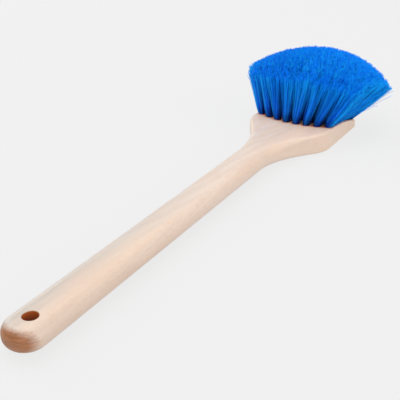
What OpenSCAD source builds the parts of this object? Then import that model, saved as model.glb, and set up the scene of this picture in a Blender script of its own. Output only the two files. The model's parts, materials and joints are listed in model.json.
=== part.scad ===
// Long-handled wheel brush: a one-piece wooden block and handle, drilled for
// a fan of filament tufts, each held at the bottom of its hole by a wire anchor.
// Millimetres. The origin is the middle of the head's flat back, +X points to
// the nose, +Z points out of the tufted face.

/* [Overall] */
// Length from the butt of the handle to the nose of the head
overall_length = 508; // [420:1:620]

/* [Head] */
// Width of the head across the tufted face
head_width = 87; // [74:1:110]
// Length of the straight-sided head, from the shoulder to the nose
head_length = 72; // [68:1:92]
// Thickness of the head at the shoulder
head_height = 21; // [20:0.5:28]
// Thickness of the head at the nose
nose_height = 5.5; // [5:0.5:8]
// How far the crowned face starts ahead of the shoulder
crown_lead = 6; // [2:1:12]
// Corner radius of the nose in plan
nose_corner_r = 8; // [5:1:14]
// How far the nose edge bulges forwards at the middle
nose_bulge = 3; // [1:0.5:6]
// Edge rounding of the head
head_edge_r = 1.6; // [1:0.1:2.4]

/* [Handle] */
// Width of the handle near its butt
handle_width = 36.2; // [30:0.2:42]
// Width of the neck where the flare starts
neck_width = 30; // [24:0.5:36]
// Thickness of the handle
handle_thickness = 20; // [16:0.5:24]
// Height of the handle's underside above the head's back
handle_lift = 4; // [0:0.5:8]
// Edge rounding of the handle
handle_edge_r = 9; // [4:0.5:9.5]
// Length of the flare from the neck to the shoulder
flare_length = 92; // [80:1:120]
// Convex radius of the shoulder
shoulder_r = 35; // [20:1:45]

/* [Hanging hole] */
// Diameter of the hanging hole
hang_hole_d = 12.5; // [8:0.5:16]
// Distance from the butt to the middle of the hanging hole
hang_hole_inset = 24; // [18:0.5:40]
// Depth of the softened rim at each mouth of the hanging hole
hang_hole_rim = 0.8; // [0.4:0.1:1.5]

/* [Tuft field] */
// Tufts across the head
tuft_columns = 8; // [6:1:8]
// Rows of tufts along the head
tuft_rows = 6; // [4:1:6]
// Distance from a side of the head to its outermost tufts
side_margin = 5.7; // [5:0.1:9]
// Distance from the nose to the last row, on the centre line
nose_margin = 11; // [9:0.5:14]
// How far the first row sits behind the shoulder, on the centre line
first_row_lead = 1.2; // [0:0.2:3]
// How far the ends of the first row sit forward of its middle
first_row_bow = 8; // [2:0.5:10]
// How far the ends of the last row sit behind its middle
last_row_bow = 3; // [0:0.5:4]

/* [Tuft holes and anchors] */
// Diameter of a tuft hole
tuft_hole_d = 7; // [5:0.1:7.4]
// Deepest tuft hole
tuft_hole_depth = 12; // [8:0.5:14]
// Least wood left under a tuft hole
hole_floor = 2; // [1.5:0.1:3]
// Radial clearance between a tuft and its hole
tuft_clearance = 0.05; // [0.02:0.01:0.1]
// Height of an anchor wire, along the hole
anchor_height = 1.6; // [1.2:0.1:2]
// Thickness of an anchor wire
anchor_thickness = 0.5; // [0.4:0.1:0.8]
// How far an anchor bites into the wall of its hole at each side
anchor_bite = 0.5; // [0.3:0.1:0.6]
// Filament folded under an anchor
anchor_seat = 0.8; // [0.5:0.1:1.2]

/* [Bristle fan] */
// Reach of the middle tufts in the first row, from mouth to tip
first_row_trim = 47; // [38:0.5:60]
// Reach of the middle tufts in the last row, from mouth to tip
last_row_trim = 73.5; // [50:0.5:90]
// How much shorter the outermost tufts are in the last row
last_row_edge_trim = 17.5; // [0:0.5:20]
// How early the rows reach their full length, 1 for evenly
trim_ease = 2; // [1:0.1:2]
// Forward lean of the middle tufts in the first row, degrees
first_row_lean = 7; // [0:0.5:12]
// Forward lean of the middle tufts in the last row, degrees
last_row_lean = 34.5; // [24:0.5:40]
// Extra forward lean of the outermost tufts in the first row, degrees
first_row_edge_lean = 15.5; // [4:0.5:20]
// Extra forward lean of the outermost tufts in the last row, degrees
last_row_edge_lean = 9; // [4:0.5:14]
// Sideways lean of the outermost tufts in the first row, degrees
first_row_splay = 36; // [28:0.5:42]
// Sideways lean of the outermost tufts in the last row, degrees
last_row_splay = 48; // [36:0.5:52]
// Lean of a hole for each degree that its tuft leans
drill_share = 0.5; // [0.3:0.05:0.6]
// Height above the face where a tuft turns from its hole to its own lean
bend_height = 3.4; // [3:0.1:4.5]
// Clearance between neighbouring tufts at their trimmed tips
tip_clearance = 0.8; // [0.4:0.1:3]
// How much a tuft swells where it bends
bend_swell = 0.1; // [0.05:0.01:0.2]
// Rise of a tuft's trimmed tip at its middle
tip_crown = 1; // [0.2:0.1:2]

/* [Hidden] */

// Stations along the head
nose_x = head_length / 2;
shoulder_x = -head_length / 2;
flare_x = shoulder_x - flare_length;
butt_x = nose_x - overall_length;
crown_x = shoulder_x - crown_lead;
hang_hole_x = butt_x + hang_hole_inset;

// Half widths
head_w = head_width / 2;
neck_w = neck_width / 2;
butt_w = handle_width / 2;

// Levels
handle_top = handle_lift + handle_thickness;
crown_run = nose_x - crown_x;
crown_drop = head_height - nose_height;
crown_r = (crown_run * crown_run + crown_drop * crown_drop) / (2 * crown_drop);

// The flare is two tangent arcs, hollow at the neck and full at the shoulder
flare_rise = head_w - neck_w;
neck_r = (flare_length * flare_length + flare_rise * flare_rise) / (2 * flare_rise) - shoulder_r;
flare_angle = 2 * atan(flare_rise / flare_length);

// The nose edge is one shallow arc, rounded into the sides by a corner arc
nose_arc_r = (head_w * head_w + nose_bulge * nose_bulge) / (2 * nose_bulge);
nose_half = head_w - nose_corner_r;
nose_angle = asin(nose_half / (nose_arc_r - nose_corner_r));
corner_x = nose_x - nose_arc_r + (nose_arc_r - nose_corner_r) * cos(nose_angle);

// Tufts
hole_r = tuft_hole_d / 2;
stem_r = hole_r - tuft_clearance;
first_row_x = shoulder_x - first_row_lead;
last_row_x = nose_x - nose_margin;
field_w = head_w - side_margin;
slack = 0.01;

function smooth(t) = let (s = min(1, max(0, t))) s * s * (3 - 2 * s);
function mix(a, b, t) = a + (b - a) * t;

// Height of the underside and of the face above the back, at a station x
function under_z(x) = mix(handle_lift, 0, smooth((x - flare_x) / (shoulder_x - flare_x)));
function face_z(x) =
    x < crown_x
        ? mix(handle_top, head_height, smooth((x - flare_x) / (crown_x - flare_x)))
        : head_height - crown_r + sqrt(crown_r * crown_r - pow(x - crown_x, 2));
function edge_r(x) = mix(handle_edge_r, head_edge_r, smooth((x - flare_x) / (shoulder_x - flare_x)));

// Outline of one side in plan, from the butt to the nose
arc_steps = 10;
outline = concat(
    [for (i = [0 : arc_steps - 1])
        let (a = 90 * i / arc_steps)
        [butt_x + butt_w - butt_w * cos(a), butt_w * sin(a)]],
    [for (i = [0 : arc_steps - 1])
        let (t = i / arc_steps)
        [mix(butt_x + butt_w, flare_x, t), mix(butt_w, neck_w, t)]],
    [for (i = [0 : arc_steps - 1])
        let (a = flare_angle * i / arc_steps)
        [flare_x + neck_r * sin(a), neck_w + neck_r * (1 - cos(a))]],
    [for (i = [arc_steps : -1 : 1])
        let (a = flare_angle * i / arc_steps)
        [shoulder_x - shoulder_r * sin(a), head_w - shoulder_r * (1 - cos(a))]],
    [for (i = [0 : arc_steps - 1])
        [mix(shoulder_x, corner_x, i / arc_steps), head_w]],
    [for (i = [0 : arc_steps / 2 - 1])
        let (a = mix(90, nose_angle, 2 * i / arc_steps))
        [corner_x + nose_corner_r * cos(a), nose_half + nose_corner_r * sin(a)]],
    [for (i = [arc_steps / 2 : -1 : 0])
        let (a = nose_angle * 2 * i / arc_steps)
        [nose_x - nose_arc_r + nose_arc_r * cos(a), nose_arc_r * sin(a)]]
);
last = len(outline) - 1;
loop_length = 2 * last;

// The outline's point i and its mirror image, in one closed loop
function flip(p) = [p.x, -p.y];
function loop_point(j) =
    let (i = (j + loop_length) % loop_length)
    i <= last ? outline[i] : flip(outline[loop_length - i]);
function outward(j) =
    let (t = loop_point(j + 1) - loop_point(j - 1))
    [-t.y, t.x] / norm(t);

// Each level of the body is the outline drawn in by its edge rounding
edge_levels = concat(
    [for (a = [-90 : 30 : 0]) [a, 0]],
    [for (a = [0 : 30 : 90]) [a, 1]]
);
function body_point(j, level) =
    let (
        p = loop_point(j),
        r = min(edge_r(p.x), (face_z(p.x) - under_z(p.x)) / 2 - slack),
        q = p - outward(j) * r * (1 - cos(level[0])),
        rise = r * sin(level[0])
    )
    [q.x, q.y, level[1] == 0 ? under_z(q.x) + r + rise : face_z(q.x) - r + rise];

body_points = [for (level = edge_levels, j = [0 : loop_length - 1]) body_point(j, level)];
function at(k, j) = k * loop_length + j % loop_length;
top_level = len(edge_levels) - 1;
body_faces = concat(
    [for (k = [0 : top_level - 1], j = [0 : loop_length - 1]) [at(k, j), at(k + 1, j), at(k, j + 1)]],
    [for (k = [0 : top_level - 1], j = [0 : loop_length - 1])
        [at(k + 1, j), at(k + 1, j + 1), at(k, j + 1)]],
    cap(0, false),
    cap(top_level, true)
);

// A level is closed by strips that run straight across the body
function turned(face, back) = back ? [for (i = [len(face) - 1 : -1 : 0]) face[i]] : face;
function strip(k, i) =
    i == 0 ? [at(k, 0), at(k, 1), at(k, loop_length - 1)]
    : i == last - 1 ? [at(k, i), at(k, last), at(k, loop_length - i)]
    : [at(k, i), at(k, i + 1), at(k, loop_length - i - 1), at(k, loop_length - i)];
function cap(k, back) = [for (i = [0 : last - 1]) turned(strip(k, i), back)];

// Place of a hole in the field: across is 1 to -1 from the +Y side, along is 0 to 1
function across(c) = 1 - 2 * (c - 1) / (tuft_columns - 1);
function along(r) = (r - 1) / (tuft_rows - 1);

// Place of a tip in the fan, which the tufts share out evenly from edge to edge
function tip_across(c) = 1 - (2 * c - 1) / tuft_columns;
function tip_along(r) = (2 * r - 1) / (2 * tuft_rows);

function tuft_x(u, v) = mix(first_row_x + first_row_bow * u * u, last_row_x - last_row_bow * u * u, v);
function mouth(u, v) =
    let (x = tuft_x(u, v))
    [x, u * field_w, face_z(x)];
function lean(u, v) =
    mix(first_row_lean, last_row_lean, v) + mix(first_row_edge_lean, last_row_edge_lean, v) * u * u;
function splay(u, v) = u * mix(first_row_splay, last_row_splay, v);
function trim(u, v) =
    mix(first_row_trim, last_row_trim, v * (trim_ease - (trim_ease - 1) * v))
    - last_row_edge_trim * v * u * u;

// Unit direction at a share of the tuft's lean: 1 for the tuft, drill_share for its hole
function heading(u, v, share) =
    let (d = [tan(share * lean(u, v)), tan(share * splay(u, v)), 1])
    d / norm(d);
function hole_axis(u, v) = heading(u, v, drill_share);
function bend_point(u, v) = mouth(u, v) + hole_axis(u, v) * bend_height / hole_axis(u, v).z;
function fan_point(u, v) = mouth(u, v) + heading(u, v, 1) * trim(u, v);
function tip_point(r, c) = fan_point(tip_across(c), tip_along(r));

// The lowest point of a leaning hole's flat bottom stays a hole_floor above the back
function depth(u, v) =
    let (up = hole_axis(u, v).z, dip = hole_r * sqrt(1 - up * up))
    min(tuft_hole_depth, (mouth(u, v).z - hole_floor - dip) / up);

// Distance from a point to the middle line of a tuft
function line_distance(p, r, c) =
    let (a = bend_point(across(c), along(r)), d = tip_point(r, c) - a)
    norm(cross(p - a, d)) / norm(d);

// A tuft fills the space to its nearest neighbour at its tip, less the clearance
function tip_r(r, c) =
    let (
        tip = tip_point(r, c),
        distances = [
            for (i = [max(1, r - 1) : min(tuft_rows, r + 1)], j = [max(1, c - 1) : min(tuft_columns, c + 1)])
                if (i != r || j != c) line_distance(tip, i, j)
        ]
    )
    (min(distances) - tip_clearance) / 2;

// Moves its child to a point, with the child's Z along a direction and its X kept forwards
module aim(point, direction) {
    d = direction / norm(direction);
    turn = atan2(d.y, d.x);
    translate(point)
        rotate([0, 0, turn])
            rotate([0, acos(d.z), 0])
                rotate([0, 0, -turn])
                    children();
}

module anchor(u, v) {
    aim(mouth(u, v), hole_axis(u, v))
        translate([-anchor_thickness / 2, -hole_r - anchor_bite, anchor_seat - depth(u, v)])
            cube([anchor_thickness, tuft_hole_d + 2 * anchor_bite, anchor_height]);
}

module tuft_hole(u, v) {
    aim(mouth(u, v), hole_axis(u, v))
        translate([0, 0, -depth(u, v)])
            cylinder(h = depth(u, v) + tuft_hole_d, r = hole_r, $fn = 32);
    anchor(u, v);
}

module hanging_hole() {
    rim_d = hang_hole_d + 2 * hang_hole_rim;
    translate([hang_hole_x, 0, handle_lift]) {
        translate([0, 0, -slack])
            cylinder(h = handle_thickness + 2 * slack, d = hang_hole_d, $fn = 64);
        translate([0, 0, -slack])
            cylinder(h = hang_hole_rim + slack, d1 = rim_d, d2 = hang_hole_d, $fn = 64);
        translate([0, 0, handle_thickness - hang_hole_rim])
            cylinder(h = hang_hole_rim + slack, d1 = hang_hole_d, d2 = rim_d, $fn = 64);
    }
}

module handle_block() {
    color("bisque")
        difference() {
            polyhedron(points = body_points, faces = body_faces, convexity = 6);
            hanging_hole();
            for (r = [1 : tuft_rows], c = [1 : tuft_columns])
                tuft_hole(across(c), along(r));
        }
}

// A tuft is a stem in its hole, a bend just above the face, and a flare to its trimmed tip
module tuft(r, c) {
    u = across(c);
    v = along(r);
    bend = bend_point(u, v);
    reach = tip_point(r, c) - bend;
    stem_length = depth(u, v) + norm(bend - mouth(u, v));
    color("dodgerblue")
        difference() {
            union() {
                aim(mouth(u, v), hole_axis(u, v))
                    translate([0, 0, -depth(u, v)])
                        cylinder(h = stem_length, r = stem_r, $fn = 32);
                translate(bend)
                    sphere(r = stem_r + bend_swell, $fn = 32);
                aim(bend, reach)
                    rotate_extrude($fn = 32)
                        polygon([
                            [0, 0],
                            [stem_r, 0],
                            [tip_r(r, c), norm(reach) - tip_crown],
                            [0, norm(reach)]
                        ]);
            }
            anchor(u, v);
        }
}

module anchors(r) {
    color("silver")
        for (c = [1 : tuft_columns])
            anchor(across(c), along(r));
}

handle_block();
for (r = [1 : tuft_rows], c = [1 : tuft_columns])
    tuft(r, c);
for (r = [1 : tuft_rows])
    anchors(r);
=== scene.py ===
import json
import math

import bpy
import numpy as np
from mathutils import Matrix, Vector


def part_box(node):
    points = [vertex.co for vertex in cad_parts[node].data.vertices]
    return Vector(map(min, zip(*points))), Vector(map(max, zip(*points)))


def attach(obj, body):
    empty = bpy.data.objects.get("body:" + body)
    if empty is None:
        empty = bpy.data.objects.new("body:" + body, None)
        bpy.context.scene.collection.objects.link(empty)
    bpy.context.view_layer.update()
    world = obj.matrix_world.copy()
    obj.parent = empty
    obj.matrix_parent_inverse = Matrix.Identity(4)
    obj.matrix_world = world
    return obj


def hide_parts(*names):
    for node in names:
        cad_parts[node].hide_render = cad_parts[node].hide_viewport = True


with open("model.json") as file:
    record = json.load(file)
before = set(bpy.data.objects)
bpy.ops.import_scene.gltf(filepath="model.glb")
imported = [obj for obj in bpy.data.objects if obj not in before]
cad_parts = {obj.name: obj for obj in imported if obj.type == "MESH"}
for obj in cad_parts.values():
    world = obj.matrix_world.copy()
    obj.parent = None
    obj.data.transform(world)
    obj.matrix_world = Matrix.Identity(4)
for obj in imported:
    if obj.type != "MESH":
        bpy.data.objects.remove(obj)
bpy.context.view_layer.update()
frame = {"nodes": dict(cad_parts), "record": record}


# ---------------------------------------------------------------- beech block
# The block and the handle are one piece of steamed beech, sawn to its outline, crowned towards the nose and
# rounded over, then sanded and dipped in a thin clear lacquer. The bristle holes and the hanging hole are
# drilled afterwards, so the wood in them is bare; it also carries painted shade, a reddish ring partly
# standing in for shadow round each bristle hole and darkening down the hanging hole.
block_low, block_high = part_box("handle_block")
butt_x = block_low[0]
nose_x = block_high[0]
head_half = block_high[1]
handle_top = block_high[2]

head_length = 0.072
head_height = 0.021
nose_height = 0.0055
crown_lead = 0.006
nose_corner = 0.008
nose_bulge = 0.003
head_edge = 0.0016

handle_half = 0.0181
neck_half = 0.015
handle_lift = 0.004
handle_edge = 0.009
flare_length = 0.092
shoulder_radius = 0.035
hair = 1e-5

shoulder_x = nose_x - head_length
flare_x = shoulder_x - flare_length
crown_x = shoulder_x - crown_lead
crown_drop = head_height - nose_height
crown_radius = ((nose_x - crown_x) ** 2 + crown_drop**2) / (2 * crown_drop)

flare_rise = head_half - neck_half
neck_radius = (flare_length**2 + flare_rise**2) / (2 * flare_rise) - shoulder_radius
flare_turn = 2 * math.atan(flare_rise / flare_length)

nose_radius = (head_half**2 + nose_bulge**2) / (2 * nose_bulge)
corner_y = head_half - nose_corner
nose_turn = math.asin(corner_y / (nose_radius - nose_corner))
corner_x = nose_x - nose_radius + (nose_radius - nose_corner) * math.cos(nose_turn)


def blend(a, b, t):
    return a + (b - a) * t


def ease(x, start, end):
    t = min(1, max(0, (x - start) / (end - start)))
    return t * t * (3 - 2 * t)


def back_level(x):
    return blend(handle_lift, 0, ease(x, flare_x, shoulder_x))


def face_level(x):
    if x < crown_x:
        return blend(handle_top, head_height, ease(x, flare_x, crown_x))
    return head_height - crown_radius + math.sqrt(crown_radius**2 - (x - crown_x) ** 2)


def edge_rounding(x):
    rounding = blend(handle_edge, head_edge, ease(x, flare_x, shoulder_x))
    return min(rounding, (face_level(x) - back_level(x)) / 2 - hair)


def half_outline():
    """The left edge of the block seen from above, from the butt to the nose, in steps along each stretch."""
    quarter = math.pi / 2
    bend_x = butt_x + handle_half

    def round_butt(a):
        return bend_x - handle_half * math.cos(a), handle_half * math.sin(a)

    def handle_side(t):
        return blend(bend_x, flare_x, t), blend(handle_half, neck_half, t)

    def neck(a):
        return flare_x + neck_radius * math.sin(a), neck_half + neck_radius * (1 - math.cos(a))

    def shoulder(a):
        return shoulder_x - shoulder_radius * math.sin(a), head_half - shoulder_radius * (1 - math.cos(a))

    def head_side(x):
        return x, head_half

    def corner(a):
        return corner_x + nose_corner * math.cos(a), corner_y + nose_corner * math.sin(a)

    def nose(a):
        return nose_x - nose_radius + nose_radius * math.cos(a), nose_radius * math.sin(a)

    half = []
    for steps, start, end, stretch in (
        (20, 0, quarter, round_butt),
        (90, 0, 1, handle_side),
        (20, 0, flare_turn, neck),
        (16, flare_turn, 0, shoulder),
        (24, shoulder_x, corner_x, head_side),
        (8, quarter, nose_turn, corner),
        (12, nose_turn, 0, nose),
    ):
        half += [stretch(blend(start, end, i / steps)) for i in range(steps)]
    return half + [(nose_x, 0.0)]


def block_mesh():
    """Lofts the block over its rounded edges and closes it with strips straight across."""
    half = half_outline()
    last = len(half) - 1
    loop = half + [(x, -y) for x, y in half[last - 1:0:-1]]
    count = len(loop)
    edge_steps = 7
    turns = [(-90 + 90 * i / edge_steps, "back") for i in range(edge_steps + 1)]
    turns += [(90 * i / edge_steps, "face") for i in range(edge_steps + 1)]
    points, faces = [], []
    for turn, side in turns:
        for j, (x, y) in enumerate(loop):
            before, after = loop[j - 1], loop[(j + 1) % count]
            out = Vector((before[1] - after[1], after[0] - before[0])).normalized()
            rounding = edge_rounding(x)
            inset = rounding * (1 - math.cos(math.radians(turn)))
            rise = rounding * math.sin(math.radians(turn))
            px, py = x - out.x * inset, y - out.y * inset
            pz = back_level(px) + rounding + rise if side == "back" else face_level(px) - rounding + rise
            points.append((px, py, pz))
    for k in range(len(turns) - 1):
        for j in range(count):
            here, there = k * count + j, k * count + (j + 1) % count
            faces.append((here, here + count, there + count, there))
    across_steps = 16
    for ring, flipped in ((0, True), (len(turns) - 1, False)):
        base = ring * count
        rows = [[base]]
        for i in range(1, last):
            left, right = points[base + i], points[base + count - i]
            row = [base + i]
            for k in range(1, across_steps):
                row.append(len(points))
                points.append(tuple(blend(a, b, k / across_steps) for a, b in zip(left, right)))
            rows.append(row + [base + count - i])
        rows.append([base + last])
        for near, far in zip(rows, rows[1:]):
            for k in range(across_steps):
                corners = [near[min(k, len(near) - 1)], near[min(k + 1, len(near) - 1)]]
                corners += [far[min(k + 1, len(far) - 1)], far[min(k, len(far) - 1)]]
                corners = list(dict.fromkeys(corners))
                faces.append(tuple(corners[::-1]) if flipped else tuple(corners))
    mesh = bpy.data.meshes.new("beech_block")
    mesh.from_pydata(points, [], faces)
    mesh.validate()
    return mesh


hang_hole = next(m for m in frame["record"]["mounts"] if m["name"] == "hang_hole")
hang_x = hang_hole["pos_m"][0]
hang_radius = hang_hole["dims"]["r_mm"] / 1000
hang_rim = 0.0008

tuft_rows = 6
tuft_columns = 8
first_row_x = shoulder_x - 0.0012
last_row_x = nose_x - 0.011
first_row_bow = 0.008
last_row_bow = 0.003
field_half = head_half - 0.0057
hole_radius = 0.0035
hole_depth = 0.012
hole_floor = 0.002
drill_share = 0.5

# The fan's lean towards the nose on the middle line, what its sides add to that, and how far they splay, in
# degrees at the first and the last row
middle_lean = 7, 34.5
side_lean = 15.5, 9
side_splay = 36, 48


def hole_mouth(u, v):
    """Middle of a bristle hole's mouth. u runs 1 to -1 across the head, v runs 0 to 1 towards the nose."""
    x = blend(first_row_x + first_row_bow * u * u, last_row_x - last_row_bow * u * u, v)
    return Vector((x, u * field_half, face_level(x)))


def fan_heading(u, v, share):
    """Which way the fan leans at a place in it, or which way its hole is drilled at a smaller share."""
    lean = math.radians(blend(*middle_lean, v) + blend(*side_lean, v) * u * u)
    splay = math.radians(u * blend(*side_splay, v))
    return Vector((math.tan(share * lean), math.tan(share * splay), 1)).normalized()


def drilled(u, v):
    """The axis and the bottom of a bristle hole."""
    mouth, axis = hole_mouth(u, v), fan_heading(u, v, drill_share)
    dip = hole_radius * math.sqrt(1 - axis.z**2)
    depth = min(hole_depth, (mouth.z - hole_floor - dip) / axis.z)
    return axis, mouth - axis * depth


holes = {
    (r + 1, c + 1): (1 - 2 * c / (tuft_columns - 1), r / (tuft_rows - 1))
    for r in range(tuft_rows)
    for c in range(tuft_columns)
}


def turned_cutter(base, axis, profile, sides):
    """Points and faces of a closed turned shape: profile is (height, radius) from its base up."""
    turn = axis.to_track_quat("Z", "Y")
    points = [base + turn @ Vector((0, 0, profile[0][0]))]
    for height, radius in profile:
        for i in range(sides):
            a = 2 * math.pi * i / sides
            points.append(base + turn @ Vector((radius * math.cos(a), radius * math.sin(a), height)))
    points.append(base + turn @ Vector((0, 0, profile[-1][0])))
    faces = [(0, 1 + (i + 1) % sides, 1 + i) for i in range(sides)]
    for k in range(len(profile) - 1):
        for i in range(sides):
            here, there = 1 + k * sides + i, 1 + k * sides + (i + 1) % sides
            faces.append((here, there, there + sides, here + sides))
    top = 1 + (len(profile) - 1) * sides
    faces += [(top + sides, top + i, top + (i + 1) % sides) for i in range(sides)]
    return points, faces


def hole_cutters():
    """One mesh of every drill: the bristle holes, and the hanging hole with its softened rims."""
    bristle_sides, hang_sides, rim_steps = 24, 64, 6
    shapes = []
    for u, v in holes.values():
        axis, bottom = drilled(u, v)
        length = (hole_mouth(u, v) - bottom).length + hole_radius
        shapes.append(turned_cutter(bottom, axis, [(0, hole_radius), (length, hole_radius)], bristle_sides))
    low, high = handle_lift, handle_top
    angles = [math.radians(90 / rim_steps * i) for i in range(rim_steps + 1)]
    rim = [(hang_rim * (1 - math.cos(a)), hang_radius + hang_rim * (1 - math.sin(a))) for a in angles]
    over = 0.001
    profile = [(low - over, hang_radius + hang_rim)]
    profile += [(low + depth, radius) for depth, radius in rim]
    profile += [(high - depth, radius) for depth, radius in rim[::-1]]
    profile += [(high + over, hang_radius + hang_rim)]
    shapes.append(turned_cutter(Vector((hang_x, 0, 0)), Vector((0, 0, 1)), profile, hang_sides))
    points, faces = [], []
    for shape_points, shape_faces in shapes:
        faces += [tuple(i + len(points) for i in face) for face in shape_faces]
        points += shape_points
    mesh = bpy.data.meshes.new("drills")
    mesh.from_pydata(points, [], faces)
    return mesh


def new_object(name, mesh):
    thing = bpy.data.objects.new(name, mesh)
    bpy.context.scene.collection.objects.link(thing)
    return thing


def finished(thing):
    """Applies a piece's modifiers: its mesh becomes plain and the modifiers go."""
    depsgraph = bpy.context.evaluated_depsgraph_get()
    mesh = bpy.data.meshes.new_from_object(thing.evaluated_get(depsgraph))
    thing.modifiers.clear()
    thing.data = mesh


block = new_object("beech_block", block_mesh())
drills = new_object("drills", hole_cutters())
drilling = block.modifiers.new("drilling", "BOOLEAN")
drilling.operation = "DIFFERENCE"
drilling.solver = "EXACT"
drilling.object = drills
finished(block)
bpy.data.objects.remove(drills)
block.data.shade_smooth()
block.data.set_sharp_from_angle(angle=math.radians(40))


def hex_colour(text):
    """A colour written as sRGB hex, in linear light."""
    parts = [int(text[i : i + 2], 16) / 255 for i in (1, 3, 5)]
    return tuple(c / 12.92 if c <= 0.04045 else ((c + 0.055) / 1.055) ** 2.4 for c in parts) + (1.0,)


def add(tree, kind, inputs, **settings):
    """Adds a node with its settings, and sets or links its inputs by number or by identifier. A node given
    as a value stands for the first of its outputs that is in use."""
    node = tree.nodes.new(kind)
    for name, value in settings.items():
        setattr(node, name, value)
    named = {socket.identifier: socket for socket in node.inputs}
    for name, value in inputs.items():
        socket = node.inputs[name] if isinstance(name, int) else named[name]
        if isinstance(value, bpy.types.Node):
            value = next(output for output in value.outputs if output.enabled)
        if isinstance(value, bpy.types.NodeSocket):
            tree.links.new(value, socket)
        else:
            socket.default_value = value
    return node


def blank_material(name):
    material = bpy.data.materials.new(name)
    material.use_nodes = True
    material.node_tree.nodes.clear()
    return material, material.node_tree


def drawn_out(tree, place, repeats, detail):
    """A soft random pattern, drawn out by how often it changes in a metre along x, y and z."""
    stretched = add(tree, "ShaderNodeMapping", {"Vector": place, "Scale": repeats})
    return add(tree, "ShaderNodeTexNoise", {"Vector": stretched, "Scale": 1.0, "Detail": detail})


def washed(tree, colour, washes):
    """A colour with washes of others over it. Each wash is a pattern, the pattern's level with none of the
    wash and its level with the most of it, how much that most is, and the wash's own colour."""
    for pattern, none, full, most, over in washes:
        share = add(tree, "ShaderNodeMapRange", {
            "Value": pattern, "From Min": none, "From Max": full, "To Max": most,
        })
        under, over = (hex_colour(c) if isinstance(c, str) else c for c in (colour, over))
        sides = {"Factor_Float": share, "A_Color": under, "B_Color": over}
        colour = add(tree, "ShaderNodeMix", sides, data_type="RGBA")
    return colour


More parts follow.
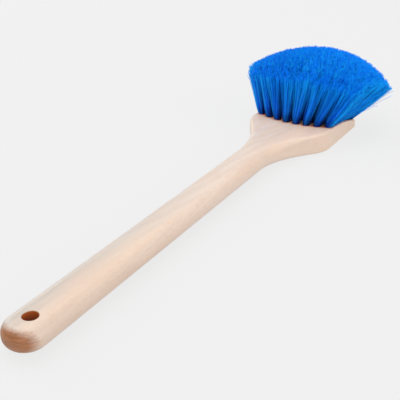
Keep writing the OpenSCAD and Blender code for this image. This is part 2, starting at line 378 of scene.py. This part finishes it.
def lacquered_beech():
    """Steamed beech: pinkish tan, duller at the butt, with faint growth rings, short ray flecks and brown end
    grain. One side is painted warmer, standing in for the warmer light on it, and the head is warmer, partly
    its own tone and partly painted to offset the fan's blue light on it. The thin coat gives a soft sheen
    over fine pores."""
    material, tree = blank_material("lacquered_beech")
    place = add(tree, "ShaderNodeTexCoord", {}).outputs["Object"]
    along, across, up = add(tree, "ShaderNodeSeparateXYZ", {0: place}).outputs

    # Growth rings 2.5 mm apart about a pith that runs along the plank, below and beside it
    sway = drawn_out(tree, place, (6, 40, 40), 2.0).outputs["Color"]
    swayed = add(tree, "ShaderNodeVectorMath", {0: sway, "Scale": 0.005}, operation="SCALE")
    moved = add(tree, "ShaderNodeVectorMath", {0: place, 1: swayed}, operation="ADD")
    pith = add(tree, "ShaderNodeMapping", {
        "Vector": moved, "Location": (0, -0.03, 0.075), "Rotation": (0, 0.03, 0.015),
    })
    rings = add(tree, "ShaderNodeTexWave", {
        "Vector": pith, "Scale": 125.0, "Distortion": 1.5, "Detail": 2.0, "Detail Scale": 1.5,
    }, wave_type="RINGS", rings_direction="X").outputs["Fac"]
    streaks = drawn_out(tree, moved, (5, 90, 90), 3.0)
    clouds = drawn_out(tree, place, (14, 50, 50), 2.0)

    # Ray flecks, which are a few tenths of a millimetre wide and are drawn 0.7 mm by 4.5 mm so that they show
    flecks = drawn_out(tree, place, (220, 1500, 1500), 1.0)

    # Long grain
    # Painted light: the side towards -y is painted warmer, standing in for the warmer light on it; the head
    # is warmer, partly its own tone and partly painted to offset the fan's blue light
    painted_warm_side = add(tree, "ShaderNodeMapRange", {"Value": across, "From Min": 0.01, "From Max": -0.02})
    warm_head = add(tree, "ShaderNodeMapRange", {"Value": along, "From Min": -0.12, "From Max": 0.03})
    warmth_and_painted_light = add(tree, "ShaderNodeMath", {0: painted_warm_side, 1: warm_head}, operation="MAXIMUM")
    long_grain = washed(tree, "#bbb1a9", [
        (rings, 0.0, 1.0, 1.0, "#b4a8a0"),
        (along, -0.2, -0.45, 0.75, "#958d84"),
        (streaks, 0.45, 0.62, 0.6, "#bba795"),
        (warmth_and_painted_light, 0.0, 1.0, 0.6, "#d2b59f"),
        (clouds, 0.5, 0.7, 0.4, "#b9a090"),
        (flecks, 0.55, 0.75, 0.3, "#a47f60"),
    ])

    # End grain: brown, paler towards the back, with a soft uneven border where the edge rounds over. Its
    # pores are finer than a tenth of a millimetre, and are drawn as broken lines about 1 mm apart.
    facing = add(tree, "ShaderNodeAttribute", {}, attribute_name="end_grain").outputs["Fac"]
    broken = drawn_out(tree, place, (200, 400, 900), 3.0)
    ragged = add(tree, "ShaderNodeMapRange", {
        "Value": broken, "From Min": 0.3, "From Max": 0.7, "To Min": -0.08, "To Max": 0.08,
    })
    border = add(tree, "ShaderNodeMath", {0: ragged, 1: facing}, operation="ADD")
    lines = drawn_out(tree, place, (60, 90, 900), 2.0)
    end_grain = washed(tree, "#9c6238", [
        (lines, 0.35, 0.65, 1.0, "#7e4c28"),
        (up, 0.018, 0.004, 0.45, "#b88460"),
        (clouds, 0.45, 0.7, 0.4, "#7c4a2e"),
    ])

    # Bare drilled wood: a reddish ring at the mouth of each bristle hole, partly painted shadow where the
    # tuft meets the wood, and painted shade down the hanging hole, near black at its bottom
    cut_and_shade = add(tree, "ShaderNodeAttribute", {}, attribute_name="cut_fibres_and_shade").outputs["Fac"]
    colour = washed(tree, long_grain, [
        (border, 0.25, 0.7, 1.0, end_grain),
        (cut_and_shade, 0.0, 0.5, 1.0, "#a8521a"),
        (cut_and_shade, 0.5, 1.0, 1.0, "#300c00"),
    ])

    height = add(tree, "ShaderNodeMath", {0: flecks, 1: streaks}, operation="ADD")
    pores = add(tree, "ShaderNodeBump", {"Strength": 0.25, "Distance": 0.0001, "Height": height})
    sheen = add(tree, "ShaderNodeMapRange", {
        "Value": streaks, "From Min": 0.3, "From Max": 0.7, "To Min": 0.42, "To Max": 0.52,
    })
    finish = add(tree, "ShaderNodeBsdfPrincipled", {
        "Base Color": colour, "Roughness": sheen, "IOR": 1.5, "Normal": pores,
        "Coat Weight": 0.2, "Coat Roughness": 0.3,
    })
    add(tree, "ShaderNodeOutputMaterial", {"Surface": finish})
    return material


# Reddish ring round each bristle hole: bare wood, partly painted shadow
torn_and_shaded_width = 0.0025
torn_and_shaded_depth = 0.6
# Depth over which painted shade darkens the hanging hole towards its bottom
bore_shade_fade = 0.04
butt_length = 0.05
filled_end_grain = 0.3


def mark_grain(mesh):
    """Stores how far each point faces along the grain, and how much bare drilled wood and painted shade it
    has: a reddish ring round each bristle hole that is partly painted shadow, and painted shade that darkens
    with depth down the hanging hole. The lacquer fills the end grain beyond the butt, which shows less of it."""
    normals = np.array([n.vector[:] for n in mesh.vertex_normals])
    places = np.array([p.co[:] for p in mesh.vertices])
    mouths = np.array([hole_mouth(u, v)[:] for u, v in holes.values()])
    nearest = np.linalg.norm(places[:, None] - mouths[None], axis=2).min(1)
    cut_and_shade = np.clip(1 - (nearest - hole_radius) / torn_and_shaded_width, 0, 1) * torn_and_shaded_depth
    bore = np.hypot(places[:, 0] - hang_x, places[:, 1]) < hang_radius + hair
    # Painted shade down the hanging hole, darkest at its bottom
    cut_and_shade[bore] = np.clip(1 - (places[bore, 2] - handle_lift) / bore_shade_fade, 0, 1)
    facing = np.abs(normals[:, 0])
    facing[places[:, 0] > hang_x + butt_length] *= filled_end_grain
    for name, values in (("end_grain", facing), ("cut_fibres_and_shade", cut_and_shade)):
        mesh.attributes.new(name, "FLOAT", "POINT").data.foreach_set("value", values.astype(np.float32))


mark_grain(block.data)
block.data.materials.append(lacquered_beech())
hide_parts("handle_block")
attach(block, "root")


# ---------------------------------------------------------------- wire anchors
# Each tuft is held by a short flat of drawn steel wire, driven across the bottom of its hole so that both
# ends bite into the beech. Drawing leaves it bright, with fine lines along its length.
def drawn_wire():
    """Drawn steel. Its die lines are drawn about 0.1 mm apart, as real ones are too fine to show."""
    material, tree = blank_material("drawn_steel_wire")
    place = add(tree, "ShaderNodeTexCoord", {}).outputs["Object"]
    lines = drawn_out(tree, place, (9000, 300, 9000), 2.0)
    rough = add(tree, "ShaderNodeMapRange", {"Value": lines, "To Min": 0.2, "To Max": 0.45})
    tone = washed(tree, "#c9c8c6", [(lines, 0.0, 1.0, 1.0, "#a3a2a1")])
    finish = add(tree, "ShaderNodeBsdfPrincipled", {"Base Color": tone, "Metallic": 1.0, "Roughness": rough})
    add(tree, "ShaderNodeOutputMaterial", {"Surface": finish})
    return material


wire = drawn_wire()
for row in range(1, tuft_rows + 1):
    anchors = frame["nodes"][f"anchors_r{row}"]
    anchors.data.materials.clear()
    anchors.data.materials.append(wire)


# ---------------------------------------------------------------- filament tufts
# Each tuft is a bundle of drawn plastic filament folded over its anchor. It fills its hole, turns as it
# leaves the face, and flares until the tufts close into one fan, which is trimmed to a crowned face.
first_row_reach = 0.047
last_row_reach = 0.0735
edge_shortening = 0.0175

# Real filaments are about 0.3 mm thick, and are drawn 0.45 mm thick so that they show
filaments_per_tuft = 330
filament_thickness = 0.00045
filament_points = 14
bundle_radius = hole_radius - filament_thickness / 2
bundle_bulge = 4.2
tip_wander = 0.001
tip_fray = 0.0013

# What differs between the tufts that show from outside and the ones crowded inside the fan
outer_clumping, inner_clumping = 0.015, 0.006
# A larger shade power paints a tuft dark further up from the block, as shade inside the fan
outer_shade, inner_shade = 1.0, 3.5
first_row_shortness, other_shortness = 0.13, 0.02
side_looseness, other_looseness = 0.021, 0.003
loose_rows = 4


def fan_surface(u, v):
    """A place on the trimmed face of the fan."""
    reach = blend(first_row_reach, last_row_reach, v * (2 - v)) - edge_shortening * v * u * u
    return hole_mouth(u, v) + fan_heading(u, v, 1) * (reach - tip_fray)


def filament_tree():
    """Geometry nodes that grow one tuft: points in a square, each with one filament that is squeezed into
    the round hole at its foot and spread over the tuft's own patch of the trimmed face at its tip."""
    tree = bpy.data.node_groups.new("filament_tuft", "GeometryNodeTree")
    tree.is_modifier = True
    for kind, names in (
        ("Int", ("Filaments", "Seed")),
        ("Float", ("Thickness", "Bulge", "Wander", "Fray", "Clumping", "Short ends", "Loose", "Shade")),
        ("Float", ("Open side",)),
        ("Vector", ("Foot", "Mouth", "Set off", "Hole across", "Hole along")),
        ("Vector", ("Tip near left", "Tip near right", "Tip far left", "Tip far right")),
        ("Material", ("Filament",)),
    ):
        for name in names:
            tree.interface.new_socket(name, in_out="INPUT", socket_type="NodeSocket" + kind)
    tree.interface.new_socket("Tuft", in_out="OUTPUT", socket_type="NodeSocketGeometry")
    given = tree.nodes.new("NodeGroupInput").outputs
    maths, vectors, ranging = "ShaderNodeMath", "ShaderNodeVectorMath", "ShaderNodeMapRange"

    # One foot for each filament, in a square two units wide
    square = add(tree, "GeometryNodeMeshGrid", {
        "Size X": 2.0, "Size Y": 2.0, "Vertices X": 2, "Vertices Y": 2,
    })
    density = add(tree, maths, {0: given["Filaments"], 1: 4.0}, operation="DIVIDE")
    feet = add(tree, "GeometryNodeDistributePointsOnFaces", {
        "Mesh": square, "Density": density, "Seed": given["Seed"],
    })

    # Each filament's own way of straying, its own fraying, and its own share of tint
    stray_seed, tint_seed, fray_seed = (
        add(tree, maths, {0: given["Seed"], 1: apart}, operation="ADD") for apart in (1000, 2000, 3000)
    )
    stray, fray = (
        add(tree, "FunctionNodeRandomValue", {
            "Min": (-1, -1, -1), "Max": (1, 1, 1), "Seed": seed,
        }, data_type="FLOAT_VECTOR")
        for seed in (stray_seed, fray_seed)
    )
    own_tint = add(tree, "FunctionNodeRandomValue", {"Seed": tint_seed}, data_type="FLOAT")

    # The tint also runs in locks of neighbouring filaments, partly their own tone and partly painted
    # highlight streaks along the shafts
    place = add(tree, "GeometryNodeInputPosition", {})
    away = add(tree, vectors, {"Vector": (7.0, 3.0, 0.0), "Scale": given["Seed"]}, operation="SCALE")
    moved = add(tree, vectors, {0: place, 1: away}, operation="ADD")
    locks = add(tree, "ShaderNodeTexNoise", {"Vector": moved, "Scale": 3.5, "Detail": 1.0})
    locks = add(tree, ranging, {"Value": locks, "From Min": 0.3, "From Max": 0.7})
    own_share = add(tree, maths, {0: own_tint, 1: 0.4}, operation="MULTIPLY")
    tint = add(tree, maths, {0: locks, 1: 0.6, 2: own_share}, operation="MULTIPLY_ADD")

    # How near a filament is to its tuft's sides, which are painted in shade, apart from one that is the open
    # edge of the fan, which is painted lighter instead
    side = add(tree, "ShaderNodeSeparateXYZ", {0: place}).outputs[0]
    outward = add(tree, maths, {0: side, 1: given["Open side"]}, operation="MULTIPLY")
    edge = add(tree, maths, {0: outward, 1: 0.0}, operation="MAXIMUM")
    inward = add(tree, maths, {0: 1.0, 1: edge}, operation="SUBTRACT")
    sideways = add(tree, maths, {0: side}, operation="ABSOLUTE")
    sideways = add(tree, maths, {0: sideways, 1: 3.0}, operation="POWER")
    painted_side_shade = add(tree, maths, {0: sideways, 1: inward}, operation="MULTIPLY")
    for name, kind, value in (
        ("spot", "FLOAT_VECTOR", place),
        ("stray", "FLOAT_VECTOR", stray),
        ("tint", "FLOAT", tint),
        ("side", "FLOAT", painted_side_shade),
        ("edge", "FLOAT", edge),
    ):
        stored = {"Geometry": feet, "Name": name, "Value": value}
        feet = add(tree, "GeometryNodeStoreNamedAttribute", stored, data_type=kind)

    line = add(tree, "GeometryNodeCurvePrimitiveLine", {"Start": (0, 0, 0), "End": (0, 0, 1)})
    line = add(tree, "GeometryNodeResampleCurve", {"Curve": line, "Count": filament_points})
    grown = add(tree, "GeometryNodeInstanceOnPoints", {"Points": feet, "Instance": line})
    grown = add(tree, "GeometryNodeRealizeInstances", {"Geometry": grown})
    spot, own_way, own_tone = (
        add(tree, "GeometryNodeInputNamedAttribute", {"Name": name}, data_type=kind)
        for name, kind in (("spot", "FLOAT_VECTOR"), ("stray", "FLOAT_VECTOR"), ("tint", "FLOAT"))
    )

    # The first length of each filament is in its hole, and the rest is free
    in_hole = 1 / (filament_points - 1)
    along = add(tree, "GeometryNodeSplineParameter", {})
    sunk = add(tree, ranging, {"Value": along, "From Max": in_hole, "To Min": 1.0, "To Max": 0.0})
    free = add(tree, ranging, {"Value": along, "From Min": in_hole})
    to_tip = add(tree, maths, {0: 1.0, 1: free}, operation="SUBTRACT")
    to_tip = add(tree, maths, {0: to_tip, 1: 6.0}, operation="POWER")
    early = add(tree, maths, {0: free, 1: to_tip}, operation="MULTIPLY")

    # The square of feet squeezed into the round bundle
    spot_x, spot_y = add(tree, "ShaderNodeSeparateXYZ", {0: spot}).outputs[:2]
    squeezed = []
    for own, other, way in ((spot_x, spot_y, "Hole across"), (spot_y, spot_x, "Hole along")):
        squared = add(tree, maths, {0: other, 1: other}, operation="MULTIPLY")
        shrink = add(tree, maths, {0: squared, 1: -0.5, 2: 1.0}, operation="MULTIPLY_ADD")
        shrink = add(tree, maths, {0: shrink}, operation="SQRT")
        shrunk = add(tree, maths, {0: own, 1: shrink}, operation="MULTIPLY")
        squeezed.append(add(tree, vectors, {"Vector": given[way], "Scale": shrunk}, operation="SCALE"))
    in_bundle = add(tree, vectors, {0: squeezed[0], 1: squeezed[1]}, operation="ADD")

    # The tuft's patch of the trimmed face
    across, forward = (
        add(tree, maths, {0: way, 1: 0.5, 2: 0.5}, operation="MULTIPLY_ADD") for way in (spot_x, spot_y)
    )
    near, far = (
        add(tree, "ShaderNodeMix", {
            "Factor_Float": across,
            "A_Vector": given[f"Tip {end} left"], "B_Vector": given[f"Tip {end} right"],
        }, data_type="VECTOR")
        for end in ("near", "far")
    )
    ends = {"Factor_Float": forward, "A_Vector": near, "B_Vector": far}
    patch = add(tree, "ShaderNodeMix", ends, data_type="VECTOR")

    # Tips draw together in clumps about 5 mm apart and wander from them, a few of them much further
    eddies = add(tree, "ShaderNodeTexNoise", {"Vector": patch, "Scale": 190.0, "Detail": 1.0})
    clumped = add(tree, vectors, {0: eddies.outputs["Color"], 1: (0.5, 0.5, 0.5)}, operation="SUBTRACT")
    clumped = add(tree, vectors, {"Vector": clumped, "Scale": given["Clumping"]}, operation="SCALE")
    wild = add(tree, "ShaderNodeSeparateXYZ", {0: own_way}).outputs[2]
    wild = add(tree, maths, {0: wild}, operation="ABSOLUTE")
    wild = add(tree, maths, {0: wild, 1: 20.0}, operation="POWER")
    wild = add(tree, maths, {0: wild, 1: given["Loose"], 2: given["Wander"]}, operation="MULTIPLY_ADD")
    wandered = add(tree, vectors, {"Vector": own_way, "Scale": wild}, operation="SCALE")
    drift = add(tree, vectors, {0: clumped, 1: wandered}, operation="ADD")
    aim = add(tree, vectors, {0: patch, 1: drift}, operation="ADD")

    # Every filament is trimmed to the face, though some of the first row end short of it
    mouth = add(tree, vectors, {0: given["Mouth"], 1: in_bundle}, operation="ADD")
    full = add(tree, vectors, {0: patch, 1: mouth}, operation="DISTANCE")
    short = add(tree, maths, {0: own_tone, 1: 2.0}, operation="POWER")
    short = add(tree, maths, {0: short, 1: given["Short ends"]}, operation="MULTIPLY")
    kept = add(tree, maths, {0: 1.0, 1: short}, operation="SUBTRACT")
    length = add(tree, maths, {0: full, 1: kept}, operation="MULTIPLY")
    heading = add(tree, vectors, {0: aim, 1: mouth}, operation="SUBTRACT")
    heading = add(tree, vectors, {0: heading}, operation="NORMALIZE")
    out = add(tree, vectors, {"Vector": heading, "Scale": length}, operation="SCALE")
    tip = add(tree, vectors, {0: mouth, 1: out}, operation="ADD")

    # Straight from mouth to tip, but setting off along the hole, bulging over its rim and fraying at the tip
    ends = {"Factor_Float": free, "A_Vector": mouth, "B_Vector": tip}
    path = add(tree, "ShaderNodeMix", ends, data_type="VECTOR")
    bulge = add(tree, vectors, {"Vector": in_bundle, "Scale": given["Bulge"]}, operation="SCALE")
    bulge = add(tree, vectors, {0: given["Set off"], 1: bulge}, operation="ADD")
    frayed = add(tree, ranging, {"Value": free, "From Min": 0.85, "To Max": given["Fray"]})
    to_foot = add(tree, vectors, {0: given["Foot"], 1: given["Mouth"]}, operation="SUBTRACT")
    for bend, share in ((bulge, early), (fray, frayed), (to_foot, sunk)):
        bend = add(tree, vectors, {"Vector": bend, "Scale": share}, operation="SCALE")
        path = add(tree, vectors, {0: path, 1: bend}, operation="ADD")
    placed = add(tree, "GeometryNodeSetPosition", {"Geometry": grown, "Position": path})
    # The reach kept for the colour is raised to the Shade power, so a larger power paints the filament dark
    # further up from the block, as shade
    shade = add(tree, maths, {0: free, 1: given["Shade"]}, operation="POWER")
    stored = {"Geometry": placed, "Name": "reach", "Value": shade}
    placed = add(tree, "GeometryNodeStoreNamedAttribute", stored, data_type="FLOAT")

    radius = add(tree, maths, {0: given["Thickness"], 1: 0.5}, operation="MULTIPLY")
    section = add(tree, "GeometryNodeCurvePrimitiveCircle", {"Resolution": 3, "Radius": radius})
    drawn = add(tree, "GeometryNodeCurveToMesh", {
        "Curve": placed, "Profile Curve": section, "Fill Caps": True,
    })
    smooth = add(tree, "GeometryNodeSetShadeSmooth", {"Geometry": drawn})
    real = add(tree, "GeometryNodeRealizeInstances", {"Geometry": smooth})
    dressed = add(tree, "GeometryNodeSetMaterial", {"Geometry": real, "Material": given["Filament"]})
    add(tree, "NodeGroupOutput", {0: dressed})
    return tree


def blue_filament():
    """Drawn blue polypropylene: satin and a little translucent, so that the fan's thin edges glow. It is
    lighter or darker in locks, partly its own tone and partly painted highlight streaks along the shafts.
    Painted light makes it lighter on the fan's open edges, and painted shade makes it dark near the block,
    down the sides of a tuft and further up the inner tufts."""
    material, tree = blank_material("blue_polypropylene_filament")
    tint, reach, side, edge = (
        add(tree, "ShaderNodeAttribute", {}, attribute_name=name).outputs["Fac"]
        for name in ("tint", "reach", "side", "edge")
    )
    # The lighter locks are partly painted highlight streaks
    low = washed(tree, "#0046e8", [(tint, 0.4, 0.85, 1.0, "#20a0ff")])
    # Painted shade: near black navy at the foot of each tuft and dark navy down its sides
    foot = washed(tree, "#00082c", [(reach, 0.0, 0.38, 1.0, low), (side, 0.0, 1.0, 1.0, "#001650")])
    body = washed(tree, "#008cff", [(tint, 0.4, 0.85, 1.0, "#14c0ff")])
    # Painted light: lighter on the fan's open edges, above the foot
    open_edge = add(tree, "ShaderNodeMapRange", {"Value": edge, "From Min": 0.2})
    above_foot = add(tree, "ShaderNodeMapRange", {"Value": reach, "From Max": 0.5})
    lit = add(tree, "ShaderNodeMath", {0: open_edge, 1: above_foot}, operation="MULTIPLY")
    colour = washed(tree, foot, [(reach, 0.25, 0.9, 1.0, body), (lit, 0.0, 1.0, 1.0, "#10b4ff")])
    satin = add(tree, "ShaderNodeBsdfPrincipled", {
        "Base Color": colour, "Roughness": 0.5, "IOR": 1.49, "Specular IOR Level": 0.1,
    })
    glow = add(tree, "ShaderNodeBsdfTranslucent", {"Color": colour})
    translucency = 0.15
    finish = add(tree, "ShaderNodeMixShader", {0: translucency, 1: satin, 2: glow})
    add(tree, "ShaderNodeOutputMaterial", {"Surface": finish})
    return material


tuft_nodes = filament_tree()
filament = blue_filament()
for (row, column), (u, v) in holes.items():
    axis, foot = drilled(u, v)
    mouth = hole_mouth(u, v)
    hole_along = Vector((0, 1, 0)).cross(axis).normalized() * bundle_radius
    hole_across = hole_along.cross(axis)
    left, right = 1 - 2 * (column - 1) / tuft_columns, 1 - 2 * column / tuft_columns
    near, far = (row - 1) / tuft_rows, row / tuft_rows
    reach = fan_surface((left + right) / 2, (near + far) / 2) - mouth
    outer = row in (1, tuft_rows) or column in (1, tuft_columns)
    loose = column == tuft_columns and row <= loose_rows
    sizes = {
        "Filaments": filaments_per_tuft, "Seed": 100 * row + column,
        "Thickness": filament_thickness, "Bulge": bundle_bulge, "Wander": tip_wander, "Fray": tip_fray,
        "Clumping": outer_clumping if outer else inner_clumping,
        "Short ends": first_row_shortness if row == 1 else other_shortness,
        "Loose": side_looseness if loose else other_looseness,
        "Shade": outer_shade if outer else inner_shade,
        "Open side": (column == tuft_columns) - (column == 1),
        "Foot": foot, "Mouth": mouth, "Set off": axis * reach.length - reach,
        "Hole across": hole_across, "Hole along": hole_along,
        "Tip near left": fan_surface(left, near), "Tip near right": fan_surface(right, near),
        "Tip far left": fan_surface(left, far), "Tip far right": fan_surface(right, far),
        "Filament": filament,
    }
    tuft = new_object(f"filaments_r{row}_c{column}", bpy.data.meshes.new("seed"))
    growth = tuft.modifiers.new("growth", "NODES")
    growth.node_group = tuft_nodes
    for item in tuft_nodes.interface.items_tree:
        if item.in_out == "INPUT":
            value = sizes[item.name]
            growth[item.identifier] = list(value) if isinstance(value, Vector) else value
    finished(tuft)
    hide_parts(f"tuft_r{row}_c{column}")
    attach(tuft, "root")


# ---------------------------------------------------------------- studio
# A pale acrylic table lit from below, so that the brush casts next to no shadow, with a broad soft light
# above, lower ones to the right, behind and in front, and a pale surround.
def lit_acrylic():
    """Matt opal acrylic with light coming up through it, even but for the faintest mottle."""
    material, tree = blank_material("lit_opal_acrylic")
    place = add(tree, "ShaderNodeTexCoord", {}).outputs["Object"]
    mottle = add(tree, "ShaderNodeTexNoise", {"Vector": place, "Scale": 3.0, "Detail": 2.0})
    tone = washed(tree, "#484848", [(mottle, 0.0, 1.0, 1.0, "#474747")])
    finish = add(tree, "ShaderNodeBsdfPrincipled", {
        "Base Color": tone, "Roughness": 0.9, "Specular IOR Level": 0.0,
        "Emission Color": hex_colour("#ffffff"), "Emission Strength": 0.77,
    })
    add(tree, "ShaderNodeOutputMaterial", {"Surface": finish})
    return material


floor_mesh = bpy.data.meshes.new("floor")
far_edge = 8
corners = [(x * far_edge, y * far_edge, 0) for x, y in ((-1, -1), (1, -1), (1, 1), (-1, 1))]
floor_mesh.from_pydata(corners, [], [(0, 1, 2, 3)])
floor = new_object("floor", floor_mesh)
floor.data.materials.append(lit_acrylic())

surround = bpy.data.worlds.new("pale_surround")
surround.use_nodes = True
sky = surround.node_tree.nodes["Background"]
sky.inputs["Color"].default_value = hex_colour("#ffffff")
sky.inputs["Strength"].default_value = 0.75
bpy.context.scene.world = surround


def soft_light(name, place, target, size, power):
    lamp = bpy.data.lights.new(name, "AREA")
    lamp.shape = "DISK"
    lamp.size = size
    lamp.energy = power
    thing = bpy.data.objects.new(name, lamp)
    thing.location = place
    thing.rotation_euler = (Vector(target) - Vector(place)).to_track_quat("-Z", "Y").to_euler()
    bpy.context.scene.collection.objects.link(thing)


soft_light("overhead_softbox", (-0.1, 0.5, 1.5), (0, 0, 0), 2.2, 24)
soft_light("side_softbox", (-0.1, -1.5, 0.5), (-0.15, 0, 0.02), 1.2, 11)
soft_light("back_softbox", (0.3, 1.5, 0.5), (0, 0, 0.05), 1.2, 8)
soft_light("front_softbox", (-1.4, -0.9, 0.9), (-0.1, 0, 0.02), 1.4, 7)

# The camera stands behind the butt, to the right of the handle, and looks along it and down
camera_place = Vector((-0.8787, -0.4089, 0.4120))
camera_turn, camera_dip, camera_roll = 1.0171, 0.4749, -0.0193
level = math.cos(camera_dip)
ahead = Vector((math.sin(camera_turn) * level, math.cos(camera_turn) * level, -math.sin(camera_dip)))
level_right = Vector((math.cos(camera_turn), -math.sin(camera_turn), 0))
level_up = level_right.cross(ahead)
right = level_right * math.cos(camera_roll) + level_up * math.sin(camera_roll)
up = -level_right * math.sin(camera_roll) + level_up * math.cos(camera_roll)
camera = bpy.data.objects.new("camera", bpy.data.cameras.new("camera"))
camera.data.sensor_width = 36
camera.data.lens = 88.56
camera.data.clip_start = 0.01
camera.matrix_world = Matrix((right, up, -ahead)).transposed().to_4x4()
camera.location = camera_place
bpy.context.scene.collection.objects.link(camera)
bpy.context.scene.camera = camera
bpy.context.scene.view_settings.view_transform = "Standard"
